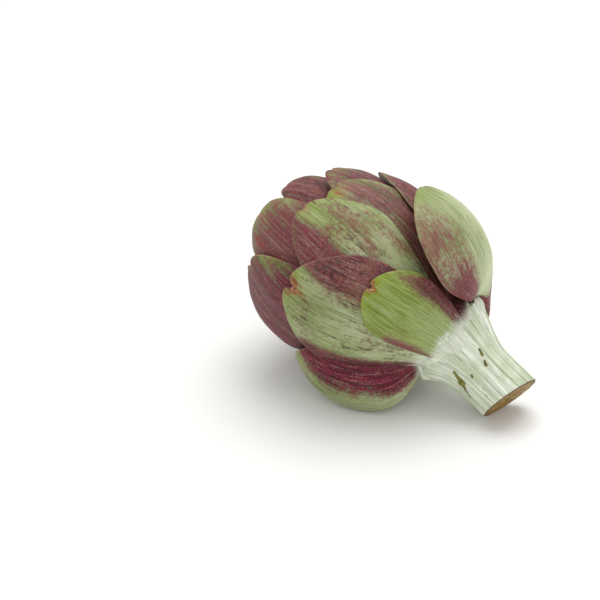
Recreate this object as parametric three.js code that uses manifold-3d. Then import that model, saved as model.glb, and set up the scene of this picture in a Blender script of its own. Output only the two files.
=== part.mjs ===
// An artichoke lying on its side: a head of overlapping green and purple bracts on a short cut stem.
// Millimetres, +Z up, the table at z = 0. The head's tip points to -X and the stem to +X.
// Every bract is a thin curved leaf laid round the middle of the head, each in a layer of its own.
import * as THREE from 'three';
import { mergeVertices } from 'three/addons/utils/BufferGeometryUtils.js';
import Module from 'manifold-3d';

const wasm = await Module();
wasm.setup();

const DEG = Math.PI / 180;
const HALF_TURN = 180;
const FULL_TURN = 360;

// How the head lies
const HEAD_TILT = 23 * DEG;
const HEAD_HEIGHT = 48.3;
const HEAD_X = -14.8;
const HEAD_Y = -1.2;
const TIP_AXIS = new THREE.Vector3(-Math.cos(HEAD_TILT), 0, Math.sin(HEAD_TILT));
const HEAD_UP = new THREE.Vector3(Math.sin(HEAD_TILT), 0, Math.cos(HEAD_TILT));
const HEAD_SIDE = new THREE.Vector3(0, -1, 0);

// Radius of the head's outside by the angle from the stem end, in degrees
const HEAD_PROFILE = [
  [0, 54],
  [20, 52.2],
  [30, 49.6],
  [42, 47.4],
  [60, 46.3],
  [90, 46.3],
  [110, 48.2],
  [125, 50.8],
  [140, 53],
  [155, 55],
  [180, 55.5],
];

// How far a bract opens outwards towards its tip, by the same angle
const OPENING = [
  [0, 0],
  [70, 0],
  [104, 2.6],
  [131, 5.6],
  [140, 7.6],
  [155, 11.5],
  [175, 15],
  [180, 15.5],
];

// Each bract is pushed outwards until it nearly meets those that lie over it
const CLEARANCE = 0.4;
const HELD_LENGTH = 0.4;
const FREEING_LENGTH = 0.45;
const LEAST_FREE = 0.1;
const TURN_CELL = 3;
const ANGLE_CELL = 2;
const PACK_SAMPLES = 60;

// Bract flesh
const ROOT_THICKNESS = 1.5;
const BLADE_THICKNESS = 1.15;
const EDGE_THICKNESS = 0.8;
const THINNING = 0.012;
const THINNED_BY = 0.7;
const RIM_POWER = 2.4;
const TIP_RIM_LENGTH = 0.2;

// How a blade is laid and bent. Lengths are shares of the bract's length.
const WRAP_ROWS = 0.45;
const LEAST_WRAP_SINE = 0.2;
const SEAM_EASE = 0.985;
const NOTCH_WIDTH = 0.07;
const LEAN_UNIT = 10;
const ROLL_LENGTH = 0.5;
const SIDE_LENGTH = 0.4;
const SIDE_POWER = 2.5;
const CURL_LENGTH = 0.3;
const CURL_POWER = 1.5;
const EAR_START = 0.09;
const EAR_LENGTH = 0.4;
const PUFF_START = 0.4;
const PUFF_LENGTH = 0.3;
const PUFF_FROM = 0.1;
const PUFF_WIDTH = 0.7;

// Grid of one bract: across from edge to edge, and along from root to tip
const ACROSS = [-1, -0.8, -0.54, -0.26, 0, 0.26, 0.54, 0.8, 1];
const ACROSS_NOTCHED = [-1, -0.78, -0.5, -0.22, -NOTCH_WIDTH, 0, NOTCH_WIDTH, 0.22, 0.5, 0.78, 1];
const ALONG = [0, 0.12, 0.25, 0.39, 0.54, 0.68, 0.81, 0.92, 1];
const ALONG_EARED = [0, 0.04, 0.09, 0.15, 0.24, 0.36, 0.48, 0.6, 0.72, 0.84, 0.93, 1];

// What a bract has unless its own row says otherwise
const COMMON = {
  root: 29,
  halfWidth: 26,
  neck: 12,
  widest: 0.6,
  swell: 1.2,
  farSwell: null,
  taper: 0.1,
  rounding: 0.42,
  notch: 0,
  lean: 0,
  bulge: 0,
  bulgeAt: 0.4,
  bulgeStart: 0,
  bulgeEnd: 1,
  cup: 0.3,
  farCup: null,
  side: 0.5,
  curl: 0.6,
  sink: 0,
  roll: 0,
  ears: 0,
  earDrop: 0,
  farEarDrop: 0,
  puff: 0,
  held: false,
};

// The bracts from the outermost inwards. Turn is round the head from its top towards -Y;
// root and tip are angles from the stem end.
const BRACTS = [
  {
    turn: -26, root: 26.9, tip: 90, halfWidth: 29, neck: 3.5, widest: 0.44, swell: 0.75, farSwell: 0.5,
    rounding: 0.5, lean: 0.7, bulge: 13, bulgeAt: 0.36, bulgeStart: 0.18, bulgeEnd: 0.75,
    ears: 3.5, earDrop: 0.06, farEarDrop: 0.17,
  },
  {
    turn: 49, root: 23, tip: 75, halfWidth: 17, neck: 12, widest: 0.5, notch: 0.05, lean: 0.3,
    bulge: 1.6, bulgeAt: 0.5, bulgeEnd: 0.8, curl: 0,
  },
  { turn: 212, root: 24, tip: 94, halfWidth: 25, bulge: 7.3, bulgeAt: 0.5, bulgeStart: 0.1, cup: 0.7 },
  { turn: 70, root: 23, tip: 113, halfWidth: 30, neck: 15, notch: 0.05, lean: 0.7, bulge: 2 },
  {
    turn: 138, root: 23.5, tip: 96, halfWidth: 25, neck: 15, bulge: 19.9, bulgeAt: 0.34, bulgeStart: 0.3,
    bulgeEnd: 0.85, cup: 0.95, farCup: 0.7,
  },
  { turn: -76, root: 23, tip: 98, bulge: 5, bulgeAt: 0.35 },
  { turn: 50, root: 24, tip: 131, bulge: 1, lean: -0.8 },
  { turn: -46, root: 24, tip: 120, halfWidth: 28, bulge: 1.5, bulgeAt: 0.5, roll: 0.3, curl: 1.6 },
  { turn: 12, root: 25, tip: 127, halfWidth: 31, rounding: 0.38, roll: -0.8 },
  { turn: 244, root: 24, tip: 112, bulge: 1.5 },
  { turn: 106, root: 26, tip: 146, halfWidth: 32, rounding: 0.38, curl: 1, sink: 3.2, puff: 3 },
  { turn: 182, root: 26, tip: 124, bulge: 1 },
  { turn: -11, root: 27, tip: 139, halfWidth: 30, rounding: 0.38, roll: -2 },
  { turn: 65, root: 28, tip: 164, halfWidth: 31, curl: -0.5 },
  { turn: -66, root: 27, tip: 124, bulge: 1 },
  { turn: 215, root: 27, tip: 138 },
  { turn: 272, root: 29, tip: 142 },
  { turn: 150, root: 28, tip: 152 },
  { turn: 9, root: 30, tip: 161, halfWidth: 22, roll: -2.2, curl: -1.5 },
  { turn: -48, root: 31, tip: 156, halfWidth: 25 },
  { turn: -18, root: 33, tip: 168, halfWidth: 22 },
  { turn: 232, root: 31, tip: 158, halfWidth: 25 },
  { turn: 112, root: 31, tip: 168, halfWidth: 24 },
  { turn: 188, root: 32, tip: 168, halfWidth: 24 },
  { turn: -76, root: 33, tip: 170, halfWidth: 22 },
  { turn: 45, root: 33, tip: 173, halfWidth: 22 },
  { turn: 150, root: 35, tip: 174, halfWidth: 20 },
  { turn: 262, root: 36, tip: 175, halfWidth: 20 },
];

// The bud of small bracts at the tip, grown together with its core
const BUD_COUNT = 7;
const BUD_FIRST_TURN = 10;
const GOLDEN_TURN = 137.5;
const BUD_ROOT = 70;
const BUD_FIRST_TIP = 170;
const BUD_TIP_STEP = 1;
const BUD_HALF_WIDTH = 17;
const BUD_NECK = 9;
const CORE_SEGMENTS = 28;
const CORE_ANGLES = [34, 42, 52, 66, 84, 102, 120, 138, 152, 163, 172];
const CORE_GAP = 0.5;
const BUD_SINK = 1;

// Stem and heart. Distances are along the head's axis from its middle towards the cut.
const STEM_RADIUS = 13.3;
const STEM_LENGTH_TO_CUT = 84;
const FLARE_GROWTH = 6.4;
const FLARE_START = 47.5;
const FLARE_LENGTH = 23;
const FLARE_POWER = 1.9;
const FLARE_POWER_SWING = 0.5;
const FLARE_SWING_TURN = 130 * DEG;
const BEND_START = 47;
const BEND_LENGTH = 14;
const STEM_BEND = 10.7 * DEG;
const CUT_NORMAL = new THREE.Vector3(0.817, -0.248, -0.574).normalize();
const RIB_HEIGHT = 0.3;
const RIB_COUNT = 13;
const RIB_SHIFT = 1;
const FINE_RIB_COUNT = 21;
const FINE_RIB_SHARE = 0.6;
const STEM_SEGMENTS = 60;

// Leaf stalks that run down from the bracts into the stem
const STALKS = [
  { turn: -26, height: 4.2, width: 13, length: 20 },
  { turn: 49, height: 0.8, width: 30, length: 14 },
  { turn: 138, height: 0.8, width: 26, length: 12 },
];
const STEM_STATIONS = [100, 76, 70, 65, 60, 56, 53, 50, 47.5];
const HEART_PROFILE = [
  [46.7, 18.6],
  [45.4, 17.3],
  [36, 16.8],
  [29, 16.2],
  [24.6, 14.2],
  [22.6, 9.5],
];
const HEART_TOP = 22.2;

const TABLE_SIZE = 400;

const GREEN_BRACTS = 7;
const COLOURS = {
  stem: 0xc3cdb0,
  green: 0x93a070,
  purple: 0x73454a,
  inner: 0x7d5550,
};
const STEM_ROUGHNESS = 0.6;
const BRACT_ROUGHNESS = 0.5;

function lerp(a, b, t) {
  return a + (b - a) * t;
}

function clamp01(t) {
  return Math.min(1, Math.max(0, t));
}

function smooth(t) {
  const c = clamp01(t);
  return c * c * (3 - 2 * c);
}

// Smooth curve through [x, value] points
function curve(points, x) {
  const last = points.length - 1;
  let i = 0;
  while (i < last - 1 && x > points[i + 1][0]) i += 1;
  const slope = (k) => {
    const a = points[Math.max(0, k - 1)];
    const b = points[Math.min(last, k + 1)];
    return (b[1] - a[1]) / (b[0] - a[0]);
  };
  const [x0, v0] = points[i];
  const [x1, v1] = points[i + 1];
  const span = x1 - x0;
  const t = clamp01((x - x0) / span);
  const t2 = t * t;
  const t3 = t2 * t;
  return (2 * t3 - 3 * t2 + 1) * v0 + (t3 - 2 * t2 + t) * span * slope(i)
    + (3 * t2 - 2 * t3) * v1 + (t3 - t2) * span * slope(i + 1);
}

function headRadius(degrees) {
  return curve(HEAD_PROFILE, degrees) + curve(OPENING, degrees);
}

// Unit vector across the head's axis at a turn, and the one along the turn
function spoke(turn) {
  return HEAD_UP.clone().multiplyScalar(Math.cos(turn)).addScaledVector(HEAD_SIDE, Math.sin(turn));
}

function along(turn) {
  return HEAD_UP.clone().multiplyScalar(-Math.sin(turn)).addScaledVector(HEAD_SIDE, Math.cos(turn));
}

function direction(turn, angle) {
  return spoke(turn).multiplyScalar(Math.sin(angle)).addScaledVector(TIP_AXIS, -Math.cos(angle));
}

// One point of a bract: s runs from edge to edge (-1 to 1), t from root to tip (0 to 1)
function bractPoint(bract, s, t) {
  const end = 1 - bract.rounding * (1 - Math.sqrt(1 - (s * SEAM_EASE) ** 2))
    - bract.notch * Math.exp(-((s / NOTCH_WIDTH) ** 2));
  const y = t * end;
  const necked = bract.neck / bract.halfWidth;
  const swell = s > 0 && bract.farSwell !== null ? bract.farSwell : bract.swell;
  const opening = Math.sin((Math.PI / 2) * clamp01(y / bract.widest)) ** swell;
  const tapering = 1 - bract.taper * smooth((y - bract.widest) / (1 - bract.widest));
  const half = bract.halfWidth * (necked + (1 - necked) * opening) * tapering;
  const offset = s * half + bract.lean * smooth(y) * LEAN_UNIT;
  // Ears hang beside a narrow neck and stand off the stem
  const eared = s * s * smooth(t / EAR_START) * (1 - smooth((t - EAR_START) / EAR_LENGTH));
  const drop = eared * (s > 0 ? bract.earDrop : bract.farEarDrop);
  const degrees = lerp(bract.root, bract.tip, y - drop);
  const angle = degrees * DEG;
  const turn = bract.turn * DEG;
  const radius = curve(HEAD_PROFILE, degrees);
  // Near the root the blade wraps round the axis, further up it lies across its own midline
  const reach = offset / radius;
  const flat = direction(turn, angle).multiplyScalar(Math.cos(reach));
  flat.addScaledVector(along(turn), Math.sin(reach));
  const wrapped = direction(turn + reach / Math.max(Math.sin(angle), LEAST_WRAP_SINE), angle);
  const ray = wrapped.lerp(flat, smooth(y / WRAP_ROWS)).normalize();
  const away = Math.acos(THREE.MathUtils.clamp(-ray.dot(TIP_AXIS), -1, 1)) / DEG;
  const free = bract.held ? 0 : smooth((y - HELD_LENGTH) / FREEING_LENGTH);
  let outside = headRadius(away) - lerp(bract.rootDepth, bract.tipDepth, free);
  const rise = y < bract.bulgeAt
    ? lerp(bract.bulgeStart, 1, Math.sin((Math.PI / 2) * (y / bract.bulgeAt)))
    : Math.cos((Math.PI / 2) * ((y - bract.bulgeAt) / (1 - bract.bulgeAt)) * bract.bulgeEnd);
  const cup = s > 0 && bract.farCup !== null ? bract.farCup : bract.cup;
  outside += bract.bulge * rise * (1 - cup * Math.sin((Math.PI / 2) * s) ** 2);
  outside += bract.roll * s * smooth(y / ROLL_LENGTH) + bract.ears * eared;
  outside += bract.puff * smooth((s - PUFF_FROM) / PUFF_WIDTH) * smooth((y - PUFF_START) / PUFF_LENGTH);
  outside -= bract.side * Math.abs(s) ** SIDE_POWER * smooth(y / SIDE_LENGTH);
  outside -= bract.curl * smooth(1 - (1 - y) / CURL_LENGTH) ** CURL_POWER;
  return { ray, away, outside, y, free };
}

function thickness(bract, s, y) {
  const middle = lerp(ROOT_THICKNESS, BLADE_THICKNESS, smooth(y / THINNED_BY));
  const edge = Math.max(Math.abs(s) ** RIM_POWER, smooth(1 - (1 - y) / TIP_RIM_LENGTH));
  return lerp(middle, EDGE_THICKNESS, edge) * (1 - THINNING * bract.rootDepth);
}

// The lowest inner face met so far in each direction from the head's middle
const ceiling = new Map();

function cellKey(ray, away) {
  const turn = Math.atan2(ray.dot(HEAD_SIDE), ray.dot(HEAD_UP)) / DEG;
  return `${Math.round(turn / TURN_CELL)},${Math.round(away / ANGLE_CELL)}`;
}

function settle(row) {
  const bract = { ...COMMON, ...row, rootDepth: 0, tipDepth: 0 };
  const samples = [];
  for (let i = 0; i <= PACK_SAMPLES; i += 1) {
    for (let j = 0; j <= PACK_SAMPLES; j += 1) {
      samples.push([(2 * i) / PACK_SAMPLES - 1, j / PACK_SAMPLES]);
    }
  }
  const needed = samples.map(([s, t]) => {
    const { ray, away, outside, free } = bractPoint(bract, s, t);
    const limit = ceiling.get(cellKey(ray, away)) ?? Infinity;
    return { depth: outside - limit + CLEARANCE, free };
  });
  for (const { depth, free } of needed) {
    if (free < LEAST_FREE) bract.rootDepth = Math.max(bract.rootDepth, depth);
  }
  for (const { depth, free } of needed) {
    const tipShare = (depth - (1 - free) * bract.rootDepth) / free;
    if (free >= LEAST_FREE) bract.tipDepth = Math.max(bract.tipDepth, tipShare);
  }
  bract.tipDepth += bract.sink;
  for (const [s, t] of samples) {
    const { ray, away, outside, y } = bractPoint(bract, s, t);
    const key = cellKey(ray, away);
    const inside = outside - thickness(bract, s, y);
    ceiling.set(key, Math.min(ceiling.get(key) ?? Infinity, inside));
  }
  return bract;
}

// A closed leaf: its outer skin, its inner skin and the rim between them
function bractGeometry(bract, innerRadius) {
  const columns = bract.notch > 0 ? ACROSS_NOTCHED : ACROSS;
  const width = columns.length;
  const rows = bract.ears > 0 ? ALONG_EARED : ALONG;
  const height = rows.length;
  const outer = [];
  const inner = [];
  for (const t of rows) {
    for (const s of columns) {
      const { ray, away, outside, y } = bractPoint(bract, s, t);
      const inside = innerRadius ? innerRadius(away) : outside - thickness(bract, s, y);
      outer.push(...ray.clone().multiplyScalar(outside).toArray());
      inner.push(...ray.clone().multiplyScalar(inside).toArray());
    }
  }
  const count = width * height;
  const faces = [];
  for (let row = 0; row < height - 1; row += 1) {
    for (let column = 0; column < width - 1; column += 1) {
      const a = row * width + column;
      const b = a + 1;
      const c = b + width;
      const d = a + width;
      if (columns[column] < 0) {
        faces.push(a, d, b, b, d, c);
        faces.push(count + a, count + b, count + d, count + b, count + c, count + d);
      } else {
        faces.push(a, c, b, a, d, c);
        faces.push(count + a, count + b, count + c, count + a, count + c, count + d);
      }
    }
  }
  const border = [];
  for (let column = 0; column < width - 1; column += 1) border.push(column);
  for (let row = 0; row < height - 1; row += 1) border.push(row * width + width - 1);
  for (let column = width - 1; column > 0; column -= 1) border.push((height - 1) * width + column);
  for (let row = height - 1; row > 0; row -= 1) border.push(row * width);
  border.forEach((from, k) => {
    const to = border[(k + 1) % border.length];
    faces.push(from, count + to, count + from, from, to, count + to);
  });
  return makeGeometry([...outer, ...inner], faces);
}

function makeGeometry(positions, faces) {
  const geometry = new THREE.BufferGeometry();
  geometry.setAttribute('position', new THREE.Float32BufferAttribute(positions, 3));
  geometry.setIndex(faces);
  geometry.translate(HEAD_X, HEAD_Y, HEAD_HEIGHT);
  return geometry;
}

// Rings of equal length joined into a tube, closed by a fan to a centre point at each end
function closedTube(rings, firstCentre, lastCentre) {
  const size = rings[0].length;
  const positions = rings.flat().flatMap((point) => point.toArray());
  const faces = [];
  for (let ring = 0; ring < rings.length - 1; ring += 1) {
    for (let k = 0; k < size; k += 1) {
      const a = ring * size + k;
      const b = ring * size + ((k + 1) % size);
      faces.push(a, b + size, b, a, a + size, b + size);
    }
  }
  const first = rings.length * size;
  const last = first + 1;
  const lastRing = (rings.length - 1) * size;
  positions.push(...firstCentre.toArray(), ...lastCentre.toArray());
  for (let k = 0; k < size; k += 1) {
    const next = (k + 1) % size;
    faces.push(first, k, next);
    faces.push(last, lastRing + next, lastRing + k);
  }
  return makeGeometry(positions, faces);
}

// The stem droops a little below the head's axis
function stemCentre(distance) {
  const bent = Math.min(BEND_LENGTH, Math.max(0, distance - BEND_START));
  const straight = Math.max(0, distance - BEND_START - BEND_LENGTH);
  const droop = STEM_BEND * (bent * bent / (2 * BEND_LENGTH) + straight);
  const slope = STEM_BEND * bent / BEND_LENGTH;
  const centre = TIP_AXIS.clone().multiplyScalar(-distance).addScaledVector(HEAD_UP, -droop);
  const run = TIP_AXIS.clone().multiplyScalar(-Math.cos(slope)).addScaledVector(HEAD_UP, -Math.sin(slope));
  const up = HEAD_UP.clone().multiplyScalar(Math.cos(slope)).addScaledVector(TIP_AXIS, -Math.sin(slope));
  return { centre, run, up };
}

function stemRadius(distance, turn) {
  const power = FLARE_POWER - FLARE_POWER_SWING * Math.cos(turn - FLARE_SWING_TURN);
  const flared = (1 - clamp01((distance - FLARE_START) / FLARE_LENGTH)) ** power;
  const coarse = Math.cos(RIB_COUNT * turn + RIB_SHIFT);
  const ribs = coarse + FINE_RIB_SHARE * Math.cos(FINE_RIB_COUNT * turn);
  let radius = STEM_RADIUS + FLARE_GROWTH * flared + RIB_HEIGHT * ribs;
  for (const stalk of STALKS) {
    const around = turn / DEG - stalk.turn;
    const aside = THREE.MathUtils.euclideanModulo(around + HALF_TURN, FULL_TURN) - HALF_TURN;
    const faded = 1 - smooth((distance - FLARE_START) / stalk.length);
    radius += stalk.height * Math.exp(-((aside / stalk.width) ** 2)) * faded;
  }
  return radius;
}

function stemGeometry() {
  const cutCentre = stemCentre(STEM_LENGTH_TO_CUT).centre;
  const turns = Array.from({ length: STEM_SEGMENTS }, (_, k) => (k / STEM_SEGMENTS) * 2 * Math.PI);
  const rings = STEM_STATIONS.map((distance) => {
    const { centre, run, up } = stemCentre(Math.min(distance, STEM_LENGTH_TO_CUT));
    return turns.map((turn) => {
      const point = centre.clone();
      const radius = stemRadius(distance, turn);
      point.addScaledVector(up, radius * Math.cos(turn));
      point.addScaledVector(HEAD_SIDE, radius * Math.sin(turn));
      if (distance <= STEM_LENGTH_TO_CUT) return point;
      const toCut = cutCentre.clone().sub(point).dot(CUT_NORMAL) / run.dot(CUT_NORMAL);
      return point.addScaledVector(run, toCut);
    });
  });
  for (const [distance, radius] of HEART_PROFILE) {
    const centre = TIP_AXIS.clone().multiplyScalar(-distance);
    rings.push(turns.map((turn) => centre.clone().addScaledVector(spoke(turn), radius)));
  }
  const top = TIP_AXIS.clone().multiplyScalar(-HEART_TOP);
  return closedTube(rings, cutCentre, top);
}

function coreGeometry(depth) {
  const turns = Array.from({ length: CORE_SEGMENTS }, (_, k) => (k / CORE_SEGMENTS) * 2 * Math.PI);
  const rings = CORE_ANGLES.map((degrees) => {
    const radius = headRadius(degrees) - depth;
    return turns.map((turn) => direction(turn, degrees * DEG).multiplyScalar(radius));
  });
  const lowest = CORE_ANGLES[0];
  const bottom = TIP_AXIS.clone().multiplyScalar(-(headRadius(lowest) - depth) * Math.cos(lowest * DEG));
  const top = TIP_AXIS.clone().multiplyScalar(headRadius(HALF_TURN) - depth);
  return closedTube(rings, bottom, top);
}

function toManifold(geometry) {
  const vertProperties = new Float32Array(geometry.attributes.position.array);
  const triVerts = new Uint32Array(geometry.index.array);
  return new wasm.Manifold(new wasm.Mesh({ numProp: 3, vertProperties, triVerts }));
}

function fromManifold(solid) {
  const mesh = solid.getMesh();
  const geometry = new THREE.BufferGeometry();
  geometry.setAttribute('position', new THREE.Float32BufferAttribute(mesh.vertProperties, 3));
  geometry.setIndex(Array.from(mesh.triVerts));
  return geometry;
}

// Where the artichoke bears on the table its flesh is pressed flat
function pressedFlat(geometry) {
  geometry.computeBoundingBox();
  if (geometry.boundingBox.min.z >= 0) return geometry;
  const box = new THREE.BoxGeometry(TABLE_SIZE, TABLE_SIZE, TABLE_SIZE);
  box.deleteAttribute('uv');
  box.deleteAttribute('normal');
  const slab = mergeVertices(box);
  slab.translate(0, 0, -TABLE_SIZE / 2);
  return fromManifold(toManifold(geometry).subtract(toManifold(slab)));
}

function budGeometry() {
  const leaves = Array.from({ length: BUD_COUNT }, (_, k) => settle({
    turn: BUD_FIRST_TURN + GOLDEN_TURN * k,
    root: BUD_ROOT,
    tip: BUD_FIRST_TIP + BUD_TIP_STEP * k,
    halfWidth: BUD_HALF_WIDTH,
    neck: BUD_NECK,
    held: true,
  }));
  const coreDepth = Math.max(...leaves.map((leaf) => leaf.rootDepth)) + CORE_GAP;
  const sunk = (away) => headRadius(away) - coreDepth - BUD_SINK;
  let bud = toManifold(coreGeometry(coreDepth));
  for (const leaf of leaves) bud = bud.add(toManifold(bractGeometry(leaf, sunk)));
  return fromManifold(bud);
}

function makePiece(name, geometry, colour) {
  const roughness = name === 'stem' ? STEM_ROUGHNESS : BRACT_ROUGHNESS;
  const material = new THREE.MeshStandardMaterial({ color: colour, roughness, metalness: 0 });
  material.name = name;
  const mesh = new THREE.Mesh(pressedFlat(geometry), material);
  mesh.name = name;
  return mesh;
}

const artichoke = new THREE.Group();
artichoke.name = 'artichoke';
artichoke.add(makePiece('stem', stemGeometry(), COLOURS.stem));
BRACTS.forEach((row, index) => {
  const bract = settle(row);
  const name = `bract_${String(index + 1).padStart(2, '0')}`;
  const colour = index < GREEN_BRACTS ? COLOURS.green : COLOURS.purple;
  artichoke.add(makePiece(name, bractGeometry(bract), colour));
});
artichoke.add(makePiece('inner_bracts', budGeometry(), COLOURS.inner));

export default artichoke;
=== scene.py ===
import math
import random
import bpy
import numpy as np
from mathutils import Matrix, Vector


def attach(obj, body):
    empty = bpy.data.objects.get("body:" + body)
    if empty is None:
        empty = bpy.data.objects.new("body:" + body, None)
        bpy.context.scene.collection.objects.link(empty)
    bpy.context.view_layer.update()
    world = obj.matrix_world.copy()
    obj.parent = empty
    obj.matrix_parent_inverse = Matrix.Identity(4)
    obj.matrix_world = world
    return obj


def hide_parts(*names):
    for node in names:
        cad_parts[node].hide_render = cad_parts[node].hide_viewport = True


# Artichoke on its side: every bract is a leaf laid round the middle of the head.
# Leaf shapes below are in millimetres and degrees, the scene is in metres.

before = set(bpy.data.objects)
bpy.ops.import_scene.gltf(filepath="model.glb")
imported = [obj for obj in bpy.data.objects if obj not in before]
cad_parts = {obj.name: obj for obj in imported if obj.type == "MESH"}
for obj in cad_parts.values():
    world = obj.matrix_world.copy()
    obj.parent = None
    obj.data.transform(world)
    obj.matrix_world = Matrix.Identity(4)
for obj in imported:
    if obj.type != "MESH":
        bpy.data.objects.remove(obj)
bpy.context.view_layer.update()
print("frame loaded:", len(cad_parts), "nodes")

mm = 0.001
headValues = {
    "middle": (-14.8, -1.2, 48.3),
    "tilt": 23.0,
    "profile": [(0, 54), (20, 52.2), (30, 49.6), (42, 47.4), (60, 46.3), (90, 46.3),
                (110, 48.2), (125, 50.8), (140, 53), (155, 55), (180, 55.5)],
    "opening": [(0, 0), (70, 0), (104, 2.6), (131, 5.6), (140, 7.6), (155, 11.5), (175, 15),
                (180, 15.5)],
    "clearance": 0.4,        # air between one leaf and the next
    "rootThickness": 1.5,
    "bladeThickness": 1.15,
    "edgeThickness": 0.8,
}
headMiddle = np.array(headValues["middle"])
headTilt = math.radians(headValues["tilt"])
tipAxis = np.array([-math.cos(headTilt), 0.0, math.sin(headTilt)])
headUp = np.array([math.sin(headTilt), 0.0, math.cos(headTilt)])
headSide = np.array([0.0, -1.0, 0.0])


def tone(red, green, blue, alpha=1.0):  # 0..255 as picked on a screen, to linear light
    def linear(value):
        value /= 255
        return value / 12.92 if value <= 0.04045 else ((value + 0.055) / 1.055) ** 2.4
    return (linear(red), linear(green), linear(blue), alpha)


def smooth(value):
    c = np.clip(value, 0, 1)
    return c * c * (3 - 2 * c)


def mix(a, b, share):
    return a + (b - a) * share


def curve(points, x):  # smooth line through (x, value) points
    xs = np.array([p[0] for p in points], float)
    values = np.array([p[1] for p in points], float)
    slopes = np.empty(len(xs))
    slopes[1:-1] = (values[2:] - values[:-2]) / (xs[2:] - xs[:-2])
    slopes[0] = (values[1] - values[0]) / (xs[1] - xs[0])
    slopes[-1] = (values[-1] - values[-2]) / (xs[-1] - xs[-2])
    i = np.searchsorted(xs[1:-1], x, side="left")
    span = xs[i + 1] - xs[i]
    t = np.clip((x - xs[i]) / span, 0, 1)
    return ((2 * t**3 - 3 * t**2 + 1) * values[i] + (t**3 - 2 * t**2 + t) * span * slopes[i]
            + (3 * t**2 - 2 * t**3) * values[i + 1] + (t**3 - t**2) * span * slopes[i + 1])


def headRadius(degrees):
    return curve(headValues["profile"], degrees) + curve(headValues["opening"], degrees)


def columns(a):  # numbers beside vectors
    return np.asarray(a, float)[..., None]


def spoke(turn):
    return columns(np.cos(turn)) * headUp + columns(np.sin(turn)) * headSide


def sideways(turn):
    return columns(-np.sin(turn)) * headUp + columns(np.cos(turn)) * headSide


def direction(turn, angle):
    return spoke(turn) * columns(np.sin(angle)) - tipAxis * columns(np.cos(angle))


stemValues = {
    "radius": 13.3, "length": 84, "flareGrowth": 6.4, "flareStart": 47.5, "flareLength": 23,
    "flarePower": 1.9, "flareSwing": 0.5, "flareTurn": 130,
    "bendStart": 47, "bendLength": 14, "bend": math.radians(10.7),
    "cutNormal": (0.817, -0.248, -0.574), "ribHeight": 0.3, "ribs": 13, "fineRibs": 21,
    "heart": [(46.7, 18.6), (45.4, 17.3), (36, 16.8), (29, 16.2), (24.6, 14.2), (22.6, 9.5)],
    "stalks": [(-26, 4.2, 13, 20), (49, 0.8, 30, 14),
               (138, 0.8, 26, 12)],       # turn, height, width, length
    "marks": [(59.5, 86, 66, 97, 2.6), (66, 97, 73, 112, 0.9), (60, 27, 62.5, 30, 0.8),
              (65, 34, 67, 38, 0.9),
              (66, 70, 67, 72, 0.5)],     # scars: distance and turn of both ends, width
    "degreeWidth": 0.24,                  # millimetres to a degree round the skin
    "cutHollow": 0.5, "cutRidge": 0.22, "cutRough": 0.16, "cutFine": 0.1, "chamfer": 0.25,
    "around": 240, "skinRings": 60, "cutRings": 16,
}


def stemCentre(distance):
    bent = np.clip(distance - stemValues["bendStart"], 0, stemValues["bendLength"])
    straight = np.maximum(0, distance - stemValues["bendStart"] - stemValues["bendLength"])
    droop = stemValues["bend"] * (bent * bent / (2 * stemValues["bendLength"]) + straight)
    slope = stemValues["bend"] * bent / stemValues["bendLength"]
    centre = -tipAxis * columns(distance) - headUp * columns(droop)
    run = -tipAxis * columns(np.cos(slope)) - headUp * columns(np.sin(slope))
    up = headUp * columns(np.cos(slope)) - tipAxis * columns(np.sin(slope))
    return centre, run, up


def stemRadius(distance, turn):
    fromHead = distance - stemValues["flareStart"]
    aroundFlare = turn - math.radians(stemValues["flareTurn"])
    power = stemValues["flarePower"] - stemValues["flareSwing"] * np.cos(aroundFlare)
    flared = (1 - np.clip(fromHead / stemValues["flareLength"], 0, 1)) ** power
    ribs = np.cos(stemValues["ribs"] * turn + 1) + 0.6 * np.cos(stemValues["fineRibs"] * turn)
    grooves = 0.35 * np.cos(47 * turn + 2 * np.sin(3 * turn)) + 0.25 * np.cos(67 * turn + 0.5)
    radius = stemValues["radius"] + stemValues["flareGrowth"] * flared
    radius = radius + stemValues["ribHeight"] * (ribs + grooves)
    for middle, height, width, length in stemValues["stalks"]:
        aside = np.mod(np.degrees(turn) - middle + 180, 360) - 180
        radius = radius + height * np.exp(-((aside / width) ** 2)) * (1 - smooth(fromHead / length))
    return radius


def stemRing(distance, turn):
    centre, run, up = stemCentre(distance)
    radius = stemRadius(distance, turn)
    return centre + up * columns(radius * np.cos(turn)) + headSide * columns(radius * np.sin(turn))


leafShape = {  # what a leaf has unless its own values say otherwise
    "root": 29, "halfWidth": 26, "neck": 12, "widest": 0.6, "swell": 1.2, "farSwell": None, "taper": 0.1,
    "rounding": 0.42, "notch": 0.0, "lean": 0.0, "bulge": 0.0, "bulgeAt": 0.4, "bulgeStart": 0.0,
    "bulgeEnd": 1.0, "cup": 0.3, "farCup": None, "side": 0.5, "curl": 0.6, "sink": 0.0, "roll": 0.0,
    "puff": 0.0, "settle": 0.0, "widen": 0.0, "spread": 0.0, "widenFrom": 0.04, "widenTo": 0.25,
    "ears": 0.0, "earDrop": 0.0, "farEarDrop": 0.0, "wave": 0.35, "held": False,
    "stalk": 0.0, "stalkWidth": 0.7, "stalkLift": 0.7,   # the root runs on down the stem, in millimetres
}

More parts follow.
